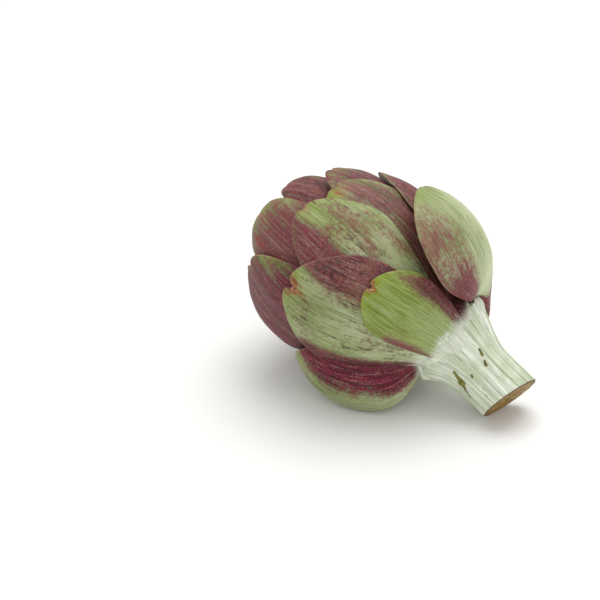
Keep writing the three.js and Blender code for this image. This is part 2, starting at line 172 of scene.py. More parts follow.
leafLook = {  # where its colours lie: s runs from -1 to 1 across, t from root 0 to tip 1
    "purple": 0.5,                     # all over
    "low": 0.0, "lowFrom": 0.6,        # more purple towards s = -1
    "high": 0.0, "highFrom": 0.6,      # more purple towards s = +1
    "soft": 0.3,
    "upper": 0.0, "upperFrom": 0.5,    # more purple towards the tip
    "rootGreen": 0.6, "rootReach": 0.5, "rootPurple": 0.0, "rootMagenta": 0.0, "rootMiddle": 1.0,
    "line": 0.3, "lineAt": 0.0, "lineWidth": 0.25, "lineEnd": 0.8,     # green along the middle
    "linePale": 0.25,
    "tipGreen": 0.3, "tipFrom": 0.8, "tipAt": 0.0, "tipWidth": 0.5,
    "edgeGreen": 0.34,                 # an olive margin round the upper half
    # bloomAndHighlight lifts a leaf's purple towards mauve: partly waxy bloom, partly painted highlight
    "yellow": 0.5, "lime": 0.0, "pale": 0.6, "paleReach": 0.6, "magenta": 0.0, "bloomAndHighlight": 0.0,
    # creaseShade: painted shade along the root line, where a leaf tucks against the stem
    "fleck": 0.5, "scar": 0.35, "scarRed": 0.3, "scarSize": 1.2, "creaseShade": 0.0,
    "paleFrom": 0.0, "paleLength": 0.2,   # where the root turns pale like the stem
    "spots": (),                       # (s, t, size, strength) of reddish spots
    "length": 60,                      # root to tip in millimetres, for the sizes of scars and spots
}


def leafPoint(leaf, s, t):
    end = 1 - leaf["rounding"] * (1 - np.sqrt(1 - (s * 0.985) ** 2))
    end = end - leaf["notch"] * np.exp(-((s / 0.07) ** 2))
    y = t * end
    necked = leaf["neck"] / leaf["halfWidth"]
    farSwell = leaf["swell"] if leaf["farSwell"] is None else leaf["farSwell"]
    swell = np.where(s > 0, farSwell, leaf["swell"])
    opened = np.sin(math.pi / 2 * np.clip(y / leaf["widest"], 0, 1)) ** swell
    tapering = 1 - leaf["taper"] * smooth((y - leaf["widest"]) / (1 - leaf["widest"]))
    half = leaf["halfWidth"] * (necked + (1 - necked) * opened) * tapering
    widened = leaf["widen"] * smooth((y - leaf["widenFrom"]) / 0.2)
    widened = widened * (1 - smooth((y - leaf["widenTo"]) / 0.45))
    offset = s * half + np.maximum(s, 0) * widened + leaf["lean"] * smooth(y) * 10
    eared = s * s * smooth(t / 0.09) * (1 - smooth((t - 0.09) / 0.4))
    earDrop = np.where(s > 0, leaf["earDrop"], leaf["farEarDrop"])
    degrees = mix(leaf["root"], leaf["tip"], y - eared * earDrop)
    angle = np.radians(degrees)
    turn = math.radians(leaf["turn"])
    reach = offset / curve(headValues["profile"], degrees)
    flat = direction(turn, angle) * columns(np.cos(reach)) + sideways(turn) * columns(np.sin(reach))
    wrapped = direction(turn + reach / np.maximum(np.sin(angle), 0.2), angle)
    ray = mix(wrapped, flat, columns(smooth(y / 0.45)))
    ray /= np.linalg.norm(ray, axis=-1, keepdims=True)
    away = np.degrees(np.arccos(np.clip(-ray @ tipAxis, -1, 1)))
    free = np.zeros_like(y) if leaf["held"] else smooth((y - 0.4) / 0.45)
    outside = headRadius(away) - mix(leaf["rootDepth"], leaf["tipDepth"], free)
    at = leaf["bulgeAt"]
    rise = np.where(y < at, mix(leaf["bulgeStart"], 1, np.sin(math.pi / 2 * y / at)),
                    np.cos(math.pi / 2 * (y - at) / (1 - at) * leaf["bulgeEnd"]))
    farCup = leaf["cup"] if leaf["farCup"] is None else leaf["farCup"]
    cup = np.where(s > 0, farCup, leaf["cup"])
    outside = outside + leaf["bulge"] * rise * (1 - cup * np.sin(math.pi / 2 * s) ** 2)
    outside = outside + leaf["roll"] * s * smooth(y / 0.5) + leaf["ears"] * eared
    outside = outside + leaf["puff"] * smooth((s - 0.1) / 0.7) * smooth((y - 0.4) / 0.3)
    outside = outside - leaf["side"] * np.abs(s) ** 2.5 * smooth(y / 0.4)
    outside = outside - leaf["curl"] * smooth(1 - (1 - y) / 0.3) ** 1.5
    return ray, away, outside, y, free, half


def leafThickness(leaf, s, y):  # thinner for leaves packed deep in the head
    middle = mix(headValues["rootThickness"], headValues["bladeThickness"], smooth(y / 0.7))
    rim = np.maximum(np.abs(s) ** 2.4, smooth(1 - (1 - y) / 0.2))
    return mix(middle, headValues["edgeThickness"], rim) * (1 - 0.012 * leaf["rootDepth"])


turnCell, angleCell = 3, 2            # degrees
ceiling = np.full((360 // turnCell + 1, 180 // angleCell + 2), np.inf)  # lowest inner face met so far


def packLeaf(values):  # pushes a leaf inwards until it clears all that lie over it
    leaf = {**leafShape, **leafLook, **values, "rootDepth": 0.0, "tipDepth": 0.0}
    steps = np.arange(61) / 60
    s, t = [a.ravel() for a in np.meshgrid(2 * steps - 1, steps, indexing="ij")]

    def cells(ray, away):
        turned = np.degrees(np.arctan2(ray @ headSide, ray @ headUp))
        column = np.floor(turned / turnCell + 0.5).astype(int) + 180 // turnCell
        return column, np.floor(away / angleCell + 0.5).astype(int)

    ray, away, outside, y, free, half = leafPoint(leaf, s, t)
    need = outside - ceiling[cells(ray, away)] + headValues["clearance"]
    tied = free < 0.1
    if tied.any():
        leaf["rootDepth"] = max(0.0, float(need[tied].max()))
    if (~tied).any():
        tips = (need - (1 - free) * leaf["rootDepth"])[~tied] / free[~tied]
        leaf["tipDepth"] = max(0.0, float(tips.max()))
    leaf["tipDepth"] += leaf["sink"]
    ray, away, outside, y, free, half = leafPoint(leaf, s, t)
    np.minimum.at(ceiling, cells(ray, away), outside - leafThickness(leaf, s, y))
    return leaf


def deselect():
    if bpy.context.object and bpy.context.object.mode != "OBJECT":
        bpy.ops.object.mode_set(mode="OBJECT")
    bpy.ops.object.select_all(action="DESELECT")


def pick(piece):
    deselect()
    piece.select_set(True)
    bpy.context.view_layer.objects.active = piece


def vertexPlaces(piece):
    places = np.empty(len(piece.data.vertices) * 3, np.float32)
    piece.data.vertices.foreach_get("co", places)
    return places.reshape(-1, 3).astype(float)


def placeVertices(piece, places):
    piece.data.vertices.foreach_set("co", np.ascontiguousarray(places, np.float32).ravel())
    piece.data.update()


def paint(piece, name, values):  # a number at every vertex, for the materials
    layer = piece.data.attributes.get(name) or piece.data.attributes.new(name, "FLOAT", "POINT")
    layer.data.foreach_set("value", np.ascontiguousarray(values, np.float32))


def mapFaces(piece, u, v):
    layer = piece.data.uv_layers.active or piece.data.uv_layers.new(name="UVMap")
    layer.name = "leafMap"
    corners = np.empty(len(piece.data.loops), np.int32)
    piece.data.loops.foreach_get("vertex_index", corners)
    layer.data.foreach_set("uv", np.stack([u[corners], v[corners]], 1).astype(np.float32).ravel())


def faceOutwards(piece):
    pick(piece)
    bpy.ops.object.mode_set(mode="EDIT")
    bpy.ops.mesh.select_all(action="SELECT")
    bpy.ops.mesh.normals_make_consistent(inside=False)
    bpy.ops.object.mode_set(mode="OBJECT")
    bpy.ops.object.shade_smooth()


def soften(s, t, number):  # hollows, swellings and long folds of a grown leaf, in millimetres
    rng = random.Random(number * 17 + 3)
    waves = np.zeros_like(s)
    for k in range(4):
        across = rng.uniform(0.6, 1.8)
        down = rng.uniform(0.8, 2.6)
        waves += 0.13 * np.sin(across * math.pi * s + down * math.pi * t + rng.uniform(0, 6.28))
    for k in range(5):                 # folds fan out from the root
        place = rng.uniform(-0.85, 0.85)
        width = rng.uniform(0.05, 0.13)
        height = rng.choice((-1, 1)) * rng.uniform(0.12, 0.3)
        drift = place * (1 + rng.uniform(-0.2, 0.2) * t)
        fold = np.exp(-(((s - drift) / width) ** 2)) * smooth(t / 0.15) * (1 - smooth((t - 0.55) / 0.4))
        waves += height * fold
    return waves


def runDownStem(leaf, s, share, base, outer):  # the root's own skin, laid on the stem below it
    middle = math.radians(leaf["turn"])
    turned = np.arctan2(base @ headSide, base @ headUp)
    aside = np.mod(turned - middle + math.pi, math.tau) - math.pi
    turn = middle + aside * mix(1.0, leaf["stalkWidth"], smooth(share))
    fromMiddle = -(base @ tipAxis)
    distance = fromMiddle + leaf["stalk"] * share * (1 - 0.45 * s * s)
    baseCentre = stemCentre(fromMiddle)[0]
    baseRadius = np.linalg.norm(base - baseCentre, axis=-1)
    centre, run, up = stemCentre(distance)
    edge = np.abs(s) ** 4
    lift = leaf["stalkLift"] * (1 - share) * (1 - edge) - 0.45 * share**2 - 0.5 * edge
    radius = mix(baseRadius, stemRadius(distance, turn) + lift, smooth(share / 0.6))
    radius = np.where(outer, radius, radius - 1.1 + 0.6 * share)
    return centre + up * columns(radius * np.cos(turn)) + headSide * columns(radius * np.sin(turn))


stalkShare = 0.22  # rows of a leaf that run down the stem, as a share of those above


def growLeaf(name, number, leaf, across, down):
    deselect()
    bpy.ops.mesh.primitive_grid_add(
        x_subdivisions=across, y_subdivisions=down, size=2, location=(0, 0, 0))
    piece = bpy.context.object
    piece.name = name
    bpy.ops.object.mode_set(mode="EDIT")
    bpy.ops.mesh.select_all(action="SELECT")
    bpy.ops.mesh.extrude_region_move(TRANSFORM_OT_translate={"value": (0, 0, -0.2)})
    bpy.ops.object.mode_set(mode="OBJECT")
    flat = vertexPlaces(piece)
    x = flat[:, 0]
    s = x * (0.75 + 0.25 * x * x)      # finer near the notch
    runs = stalkShare if leaf["stalk"] > 0 else 0.0
    below = mix(-runs, 1.0, (flat[:, 1] + 1) / 2)
    t = np.maximum(below, 0.0)
    outer = flat[:, 2] > -0.1

    def skinPlaces(side):
        ray, away, outside, y, free, half = leafPoint(leaf, s, t)
        thick = leafThickness(leaf, s, y)
        fluted = np.cos(s * 23) * (1 - np.abs(s)) * smooth(t / 0.3) * 0.1
        midrib = 0.35 * np.exp(-((s / 0.1) ** 2)) * (1 - smooth(t / 0.8))
        settled = leaf["settle"] * smooth((s - 0.2) / 0.8) * smooth((t - 0.15) / 0.3)
        relief = soften(s, t, number) - settled + fluted + midrib + leaf["wave"] * 0.5 * wavy * loose
        tuck = 0.32 * rim              # the rim is thin and rounded
        skin = np.where(side, outside + relief - tuck, outside + relief * 0.8 - thick + tuck * 0.6)
        return ray * columns(skin)

    rim = np.maximum(smooth((np.abs(s) - 0.93) / 0.07), smooth((t - 0.965) / 0.035))
    loose = smooth((t - 0.35) / 0.5)
    rng = random.Random(number * 31 + 5)
    shift = [rng.uniform(0, 6.28) for k in range(4)]
    wavy = (np.sin(9 * t + shift[0] + 1.2 * s) + 0.5 * np.sin(19 * t + shift[1] - s)) * np.abs(s) ** 3
    wavy += (np.sin(5 * s + shift[2]) + 0.5 * np.sin(11 * s + shift[3])) * smooth((t - 0.75) / 0.25)
    places = skinPlaces(outer)
    if runs:
        tail = below < 0
        base = skinPlaces(np.full(len(s), True))
        laid = runDownStem(leaf, s, np.clip(-below / runs, 0, 1), base, outer)
        places[tail] = laid[tail]
    places = headMiddle + places
    places[:, 2] = np.maximum(places[:, 2], np.where(outer, 0.0, 0.35))
    placeVertices(piece, places * mm)
    mapFaces(piece, (s + 1) / 2, below)
    faceOutwards(piece)
    half = leafPoint(leaf, s, t)[5]
    colourLeaf(piece, number, leaf, s, t, below, half, outer, rim)
    return piece


def colourLeaf(piece, number, leaf, s, t, below, half, outer, rim):
    soft = leaf["soft"]
    amount = leaf["purple"] + leaf["low"] * smooth((-s - leaf["lowFrom"]) / soft)
    amount = amount + leaf["high"] * smooth((s - leaf["highFrom"]) / soft)
    amount = amount + leaf["upper"] * smooth((t - leaf["upperFrom"]) / 0.3)
    amount = amount - leaf["rootGreen"] * (1 - smooth(t / leaf["rootReach"]))
    nearRoot = 1 - smooth((t - 0.12) / 0.25)
    amount = amount + leaf["rootPurple"] * nearRoot * mix(s * s, 1.0, leaf["rootMiddle"])
    line = np.exp(-(((s - leaf["lineAt"]) / leaf["lineWidth"]) ** 2))
    line = line * (1 - smooth((t - leaf["lineEnd"] + 0.2) / 0.2))
    amount = amount - leaf["line"] * line
    tip = smooth((t - leaf["tipFrom"]) / (1 - leaf["tipFrom"]))
    tip = tip * np.exp(-(((s - leaf["tipAt"]) / leaf["tipWidth"]) ** 2))
    amount = amount - leaf["tipGreen"] * tip
    margin = np.maximum(smooth((np.abs(s) - 0.75) / 0.25), smooth((t - 0.86) / 0.14))
    margin = margin * smooth((t - 0.45) / 0.3)
    amount = amount - leaf["edgeGreen"] * margin
    red = np.zeros_like(s)
    for spotS, spotT, size, strength in leaf["spots"]:
        gap = np.hypot((s - spotS) * half, (t - spotT) * leaf["length"])
        red = np.maximum(red, strength * (1 - smooth((gap - size * 0.4) / size)))
    paint(piece, "purple", amount)
    yellowed = leaf["yellow"] * tip + leaf["lime"] + 0.3 * leaf["edgeGreen"] * margin
    paint(piece, "yellow", np.clip(yellowed, 0, 1))
    paint(piece, "pale", leaf["pale"] * (1 - smooth(t / leaf["paleReach"])) + leaf["linePale"] * line)
    paint(piece, "magenta", np.clip(leaf["magenta"] + leaf["rootMagenta"] * nearRoot, 0, 1))
    paint(piece, "fleck", np.full_like(s, leaf["fleck"]) * smooth(t / 0.1))
    fromTip = np.hypot(s * half, (1 - t) * leaf["length"] - 0.6)
    scarred = 1 - smooth((fromTip - leaf["scarSize"] * 0.3) / leaf["scarSize"])
    paint(piece, "scar", leaf["scar"] * scarred)
    scarRed = leaf["scarRed"] * (1 - smooth((fromTip - leaf["scarSize"]) / (leaf["scarSize"] * 2.2)))
    paint(piece, "scarRed", np.maximum(scarRed, red))
    # how far this leaf's purple is lifted towards mauve: partly waxy bloom, partly painted highlight
    paint(piece, "bloomAndHighlight", np.full_like(s, leaf["bloomAndHighlight"]))
    paint(piece, "rim", rim)
    paint(piece, "inside", np.where(outer, 0.0, 1.0))
    stalked = leaf["stalk"] > 0
    turnsPale = 1 - smooth((below - leaf["paleFrom"] + 0.1) / leaf["paleLength"])
    paint(piece, "stalky", turnsPale if stalked else np.zeros_like(s))
    # painted shade: a dark band along the leaf's root line, where it tucks against the stem
    creaseShade = leaf["creaseShade"] * np.exp(-(((below - 0.004) / 0.012) ** 2))
    creaseShade = creaseShade * (1 - smooth((np.abs(s) - 0.7) / 0.3))
    paint(piece, "creaseShade", creaseShade)
    paint(piece, "leafNumber", np.full_like(s, number * 7.31))


def addNode(tree, kind, **settings):
    node = tree.nodes.new(kind)
    for name, value in settings.items():
        setattr(node, name, value)
    return node


class Graph:  # short ways to join nodes
    def __init__(self, material):
        material.use_nodes = True
        self.tree = material.node_tree
        self.shader = self.tree.nodes["Principled BSDF"]

    def put(self, socket, value):
        if isinstance(value, bpy.types.NodeSocket):
            self.tree.links.new(value, socket)
        else:
            socket.default_value = value

    def number(self, name):
        return addNode(self.tree, "ShaderNodeAttribute", attribute_name=name).outputs["Fac"]

    def math(self, operation, a, b=0.0, clamp=False):
        node = addNode(self.tree, "ShaderNodeMath", operation=operation, use_clamp=clamp)
        self.put(node.inputs[0], a)
        self.put(node.inputs[1], b)
        return node.outputs[0]

    def blend(self, share, a, b, mode="MIX"):
        node = addNode(self.tree, "ShaderNodeMix", data_type="RGBA", blend_type=mode)
        self.put(node.inputs[0], share)
        self.put(node.inputs[6], a)
        self.put(node.inputs[7], b)
        return node.outputs[2]

    def band(self, value, low, high, first=0.0, last=1.0):
        node = addNode(self.tree, "ShaderNodeMapRange", interpolation_type="SMOOTHSTEP")
        self.put(node.inputs[0], value)
        for k, number in enumerate((low, high, first, last)):
            node.inputs[k + 1].default_value = number
        return node.outputs[0]

    def swing(self, value, size):  # a noise round 0.5 made to swing round 0
        return self.math("MULTIPLY", self.math("ADD", value, -0.5), size)

    def joined(self, x, y, z):
        node = addNode(self.tree, "ShaderNodeCombineXYZ")
        for k, value in enumerate((x, y, z)):
            self.put(node.inputs[k], value)
        return node.outputs[0]

    def mapped(self):  # the two numbers of the leaf map
        where = addNode(self.tree, "ShaderNodeUVMap", uv_map="leafMap")
        apart = addNode(self.tree, "ShaderNodeSeparateXYZ")
        self.put(apart.inputs[0], where.outputs[0])
        return apart.outputs[0], apart.outputs[1]

    def noise(self, place, scale, detail, rough):
        node = addNode(self.tree, "ShaderNodeTexNoise")
        self.put(node.inputs["Vector"], place)
        node.inputs["Scale"].default_value = scale
        node.inputs["Detail"].default_value = detail
        node.inputs["Roughness"].default_value = rough
        return node.outputs["Fac"]

    def leafPattern(self, across, down, detail=4.0, rough=0.55, push=0.0):  # streaks along a leaf
        u, v = self.mapped()
        own = self.math("ADD", self.number("leafNumber"), push)
        place = self.joined(self.math("MULTIPLY", u, across), self.math("MULTIPLY", v, down), own)
        return self.noise(place, 1.0, detail, rough)

    def stemPattern(self, across, down, detail=4.0, rough=0.6):  # streaks along the stem, with no seam
        circle = self.math("MULTIPLY", self.number("turned"), math.tau)
        x = self.math("MULTIPLY", self.math("COSINE", circle), across)
        y = self.math("MULTIPLY", self.math("SINE", circle), across)
        along = self.math("MULTIPLY", self.mapped()[1], down)
        return self.noise(self.joined(x, y, along), 1.0, detail, rough)

    def grain(self, scale, detail=3.0, rough=0.6):
        where = addNode(self.tree, "ShaderNodeTexCoord")
        return self.noise(where.outputs["Object"], scale, detail, rough)

    def bump(self, height, strength, distance):
        node = addNode(self.tree, "ShaderNodeBump")
        node.inputs["Strength"].default_value = strength
        node.inputs["Distance"].default_value = distance
        self.put(node.inputs["Height"], height)
        self.put(self.shader.inputs["Normal"], node.outputs[0])


bractSkin = {
    "greenDeep": tone(84, 96, 44), "greenMid": tone(126, 138, 80), "greenPale": tone(166, 178, 128),
    "bloom": tone(186, 186, 158), "yellow": tone(112, 124, 24), "lime": tone(130, 154, 38),
    "rootPale": tone(198, 208, 166), "stemPale": tone(228, 232, 216), "stemLine": tone(150, 164, 122),
    "purpleDark": tone(58, 22, 28), "purple": tone(100, 42, 50), "mauve": tone(146, 86, 84),
    "magentaDark": tone(66, 10, 26), "magenta": tone(126, 34, 56),
    "fleck": tone(62, 44, 28), "stain": tone(96, 74, 48),
    # the rim colour is partly the thin margin's own paler colour, partly a painted highlight along the
    # edge
    "rim": tone(176, 132, 112), "scar": tone(206, 158, 122), "scarDark": tone(104, 54, 36),
    # the creaseShade colour is painted shade for the dark band at a leaf's root
    "scarRed": tone(146, 36, 40), "inside": tone(140, 140, 100), "creaseShade": tone(60, 48, 30),
    "roughness": 0.44,
}


def makeBractSkin(name, looks):
    material = bpy.data.materials.new(name)
    g = Graph(material)
    streak = g.leafPattern(24, 1.8, 6.0, 0.65)
    fine = g.leafPattern(95, 4.0, 3.0, 0.6, 3.7)
    patch = g.leafPattern(4.5, 2.6, 3.0, 0.6, 9.1)
    dash = g.leafPattern(36, 7.5, 3.0, 0.5, 5.3)
    dust = g.grain(520, 4.0, 0.7)
    speck = g.grain(1500, 2.0, 0.6)
    broad = g.grain(60, 2.0, 0.5)

    amount = g.math("ADD", g.number("purple"), g.swing(streak, 1.7))
    amount = g.math("ADD", amount, g.swing(patch, 2.3))
    amount = g.math("ADD", amount, g.swing(dust, 1.7))
    amount = g.math("ADD", amount, g.swing(fine, 0.9))
    amount = g.math("ADD", amount, g.swing(speck, 1.6))
    mask = g.band(amount, -0.05, 1.1)
    green = g.blend(g.band(streak, 0.36, 0.56), looks["greenDeep"], looks["greenMid"])
    green = g.blend(g.band(fine, 0.4, 0.68, 0.0, 0.75), green, looks["greenPale"])
    green = g.blend(g.band(broad, 0.4, 0.7, 0.0, 0.35), green, looks["bloom"])
    paled = g.math("MULTIPLY", g.number("pale"), g.band(fine, 0.3, 0.6, 0.55, 0.95), True)
    green = g.blend(paled, green, looks["rootPale"])
    yellow = g.blend(g.band(fine, 0.38, 0.62), looks["yellow"], looks["lime"])
    yellow = g.blend(g.band(streak, 0.52, 0.68, 0.0, 0.55), yellow, looks["greenPale"])
    green = g.blend(g.number("yellow"), green, yellow)
    shade = g.math("ADD", g.math("MULTIPLY", streak, 0.3), g.math("MULTIPLY", fine, 0.25))
    shade = g.math("ADD", shade, g.math("MULTIPLY", dust, 0.45))
    purple = g.blend(g.band(shade, 0.38, 0.54), looks["purpleDark"], looks["purple"])
    lit = g.math("ADD", g.math("MULTIPLY", patch, 0.5), g.math("MULTIPLY", dust, 0.5))
    purple = g.blend(g.band(lit, 0.46, 0.64, 0.0, 0.7), purple, looks["mauve"])
    magenta = g.blend(g.band(shade, 0.4, 0.6), looks["magentaDark"], looks["magenta"])
    purple = g.blend(g.number("magenta"), purple, magenta)
    # lighter mauve over the purple of some leaves: partly waxy bloom, partly painted highlight
    purple = g.blend(g.math("MULTIPLY", g.number("bloomAndHighlight"), 0.6), purple, looks["mauve"])
    colour = g.blend(mask, green, purple)
    flecks = g.math("MULTIPLY", g.band(dash, 0.55, 0.68), g.number("fleck"))
    flecks = g.math("MULTIPLY", flecks, g.band(g.math("ADD", patch, g.swing(dust, 0.6)), 0.42, 0.6))
    stain = g.math("ADD", g.math("ADD", g.swing(patch, 1.6), g.swing(streak, 1.4)), g.swing(dust, 1.2))
    stained = g.math("MULTIPLY", g.band(stain, 0.1, 0.45), g.math("MULTIPLY", g.number("fleck"), 0.6))
    colour = g.blend(stained, colour, looks["stain"])
    flecks = g.math("MULTIPLY", flecks, g.band(dust, 0.35, 0.55, 0.3, 0.85))
    colour = g.blend(flecks, colour, looks["fleck"])
    waxy = g.math("ADD", g.math("MULTIPLY", speck, 0.4), g.math("MULTIPLY", fine, 0.6))
    colour = g.blend(g.band(waxy, 0.5, 0.64, 0.0, 0.27), colour, looks["bloom"])
    stalk = g.blend(g.band(fine, 0.44, 0.66, 0.0, 0.6), looks["stemPale"], looks["stemLine"])
    stalky = g.math("ADD", g.number("stalky"), g.swing(fine, 1.0))
    stalky = g.math("ADD", stalky, g.swing(streak, 0.8))
    stalky = g.math("MULTIPLY", g.band(stalky, 0.2, 0.9), g.band(g.number("stalky"), 0.0, 0.25))
    colour = g.blend(stalky, colour, stalk)
    # paler rim: partly the margin's own colour, partly a painted highlight where the edge catches light
    rim = g.math("MULTIPLY", g.band(g.number("rim"), 0.8, 1.0), 0.55)
    colour = g.blend(rim, colour, looks["rim"])
    inner = g.blend(g.math("MULTIPLY", mask, 0.7), looks["inside"], looks["purple"])
    colour = g.blend(g.math("MULTIPLY", g.number("inside"), 0.85), colour, inner)
    reddened = g.math("MULTIPLY", g.number("scarRed"), g.band(dust, 0.4, 0.6, 0.3, 0.95))
    colour = g.blend(reddened, colour, looks["scarRed"])
    scar = g.blend(g.band(dust, 0.42, 0.6), looks["scarDark"], looks["scar"])
    colour = g.blend(g.number("scar"), colour, scar)
    # painted shade darkens the crease at the leaf's root
    colour = g.blend(g.number("creaseShade"), colour, looks["creaseShade"])
    g.put(g.shader.inputs["Base Color"], colour)
    smoothest, roughest = looks["roughness"] - 0.06, looks["roughness"] + 0.14
    g.put(g.shader.inputs["Roughness"], g.band(fine, 0.2, 0.8, smoothest, roughest))
    g.shader.inputs["Specular IOR Level"].default_value = 0.2
    height = g.math("ADD", g.math("MULTIPLY", streak, 1.0), g.math("MULTIPLY", fine, 0.55))
    height = g.math("ADD", height, g.math("MULTIPLY", dust, 0.35))
    g.bump(height, 0.6, 0.0007)
    return material


leafSkin = makeBractSkin("artichokeBract", bractSkin)
print("bract material made")

hoodedBract = {
    "turn": -26, "root": 26.9, "tip": 90, "halfWidth": 29, "neck": 3.5, "widest": 0.44,
    "swell": 0.75, "farSwell": 0.5, "rounding": 0.5, "lean": 0.7,
    "bulge": 13, "bulgeAt": 0.36, "bulgeStart": 0.18, "bulgeEnd": 0.75,
    "widen": 4.0, "ears": 3.5, "farEarDrop": 0.17, "stalk": 9, "stalkWidth": 1.5, "stalkLift": 0.5,
    "purple": -0.15, "high": 1.0, "highFrom": 0.22, "low": 1.3, "lowFrom": 0.42, "soft": 0.4,
    "rootGreen": 0.0, "rootPurple": 2.2, "rootMiddle": 0.0, "rootMagenta": 0.6,
    "line": 0.6, "linePale": 0.8, "lineAt": -0.12, "lineWidth": 0.3, "lineEnd": 1.0, "bloomAndHighlight": 0.5,
    "tipGreen": 0.5, "tipFrom": 0.6, "tipWidth": 0.8, "yellow": 0.35, "pale": 0.9,
    "fleck": 0.3, "creaseShade": 0.9, "scar": 0.1,
}
centreBract = {
    "turn": 49, "root": 23, "tip": 75, "halfWidth": 17, "neck": 12, "widest": 0.5, "notch": 0.05,
    "lean": 0.3, "bulge": 1.6, "bulgeAt": 0.5, "bulgeEnd": 0.8, "curl": 0,
    "stalk": 10, "paleFrom": -0.06, "paleLength": 0.34, "bloomAndHighlight": 0.35, "purple": -0.5,
    "low": 2.0, "lowFrom": 0.25, "high": 1.5, "highFrom": 0.5, "soft": 0.5, "upper": -1.0,
    "upperFrom": 0.6, "rootGreen": 0.1, "line": 0.2, "tipGreen": 0.4, "lime": 0.6, "pale": 0.8,
    "fleck": 0.15, "scar": 1.0, "scarRed": 0.9, "scarSize": 1.7,
}
hiddenLowBract = {
    "turn": 212, "root": 24, "tip": 94, "halfWidth": 25, "bulge": 7.3, "bulgeAt": 0.5, "stalk": 8,
    "bulgeStart": 0.1, "cup": 0.7, "purple": 0.1, "low": 0.7, "high": 0.7, "pale": 0.8,
}
frontBract = {
    "turn": 70, "root": 23, "tip": 113, "halfWidth": 30, "neck": 15, "notch": 0.05, "lean": 0.7,
    "bulge": 2, "stalk": 9, "paleLength": 0.32, "purple": 0.05,
    "low": 1.4, "lowFrom": 0.2, "high": 1.5, "highFrom": 0.62,
    "rootGreen": 0.2, "line": 0.2, "lineAt": 0.2, "lineWidth": 0.5,
    "yellow": 0.45, "fleck": 1.0, "scar": 1.0, "scarRed": 0.8, "scarSize": 2.2,
}
bellyBract = {
    "turn": 138, "root": 23.5, "tip": 96, "halfWidth": 25, "neck": 15, "bulge": 19.9,
    "bulgeAt": 0.34, "bulgeStart": 0.3, "bulgeEnd": 0.85, "cup": 0.95, "farCup": 0.7, "stalk": 9,
    "purple": -0.2, "low": 2.1, "lowFrom": 0.1, "soft": 0.5, "rootGreen": 0.0, "rootPurple": 0.5,
    "line": 0.0, "pale": 0.3, "magenta": 1.0, "fleck": 0.35, "scar": 0.2,
}
streakedBract = {
    "turn": 50, "root": 24, "tip": 131, "stalk": 11, "stalkLift": 0.6, "bulge": 1, "lean": -0.8,
    "bloomAndHighlight": 0.3, "purple": 0.5, "high": 1.2, "highFrom": -0.02, "rootPurple": 0.8, "rootMiddle": 0.0,
    "magenta": 0.3, "line": 0.6, "lineAt": -0.05, "lineWidth": 0.22, "lineEnd": 0.85,
    "rootGreen": 0.9, "rootReach": 0.7, "tipGreen": 0.45, "tipFrom": 0.6, "tipWidth": 1.2,
    "yellow": 0.35, "fleck": 1.0,
}
skylineBract = {
    "turn": -46, "root": 24, "tip": 120, "halfWidth": 28, "bulge": 1.5, "bulgeAt": 0.5,
    "roll": 0.3, "curl": 1.6, "settle": 3.4, "notch": 0.0, "wave": 0.1,
    "stalk": 9, "stalkWidth": 0.8, "paleFrom": -0.05, "purple": 1.1, "line": 0.0, "rootGreen": 0.0,
    "pale": 0.0, "magenta": 0.4, "rootMagenta": 0.5, "tipGreen": 0.0, "scar": 0.0,
}
collarBract = {
    "turn": 12, "root": 25, "tip": 127, "halfWidth": 31, "rounding": 0.38, "roll": -0.8,
    "stalk": 13, "stalkWidth": 0.8, "stalkLift": 1.4, "paleFrom": -0.13, "pale": 0.1,
    "purple": 0.95, "line": 0.25, "lineAt": 0.3, "rootGreen": 0.0, "rootPurple": 0.4,
    "rootMagenta": 0.7, "tipGreen": 0.6, "tipFrom": 0.75, "tipAt": 0.3, "yellow": 0.8, "fleck": 0.7,
    "spots": ((0.1, 0.96, 2.2, 0.7),),
}
lowerLeftBract = {
    "turn": 106, "root": 26, "tip": 146, "halfWidth": 32, "rounding": 0.38, "curl": 1, "sink": 3.2,
    "puff": 3, "spread": 9, "widenFrom": 0.35, "widenTo": 0.78, "purple": 1.4, "magenta": 0.6,
    "line": 0.1, "tipGreen": 0.2, "tipFrom": 0.6, "tipAt": -0.4, "yellow": 0.3,
}
upperBract = {
    "turn": -11, "root": 27, "tip": 139, "halfWidth": 30, "rounding": 0.38, "roll": -2, "curl": -1.2,
    "purple": 1.3, "line": 0.1, "tipGreen": 0.15, "yellow": 0.3, "magenta": 0.35,
}
redSpotBract = {
    "turn": 65, "root": 28, "tip": 164, "halfWidth": 31, "curl": -0.5, "purple": 1.1, "line": 0.1,
    "bloomAndHighlight": 0.35, "magenta": 0.25, "tipGreen": 0.35, "tipFrom": 0.85, "yellow": 0.6,
    "spots": ((0.45, 0.82, 3.6, 1.0), (0.3, 0.9, 2.4, 0.7)),
}
topBract = {
    "turn": 9, "root": 30, "tip": 161, "halfWidth": 22, "roll": -2.2, "curl": -3.2, "purple": 1.25,
    "line": 0.1, "magenta": 0.3, "tipGreen": 0.1,
}
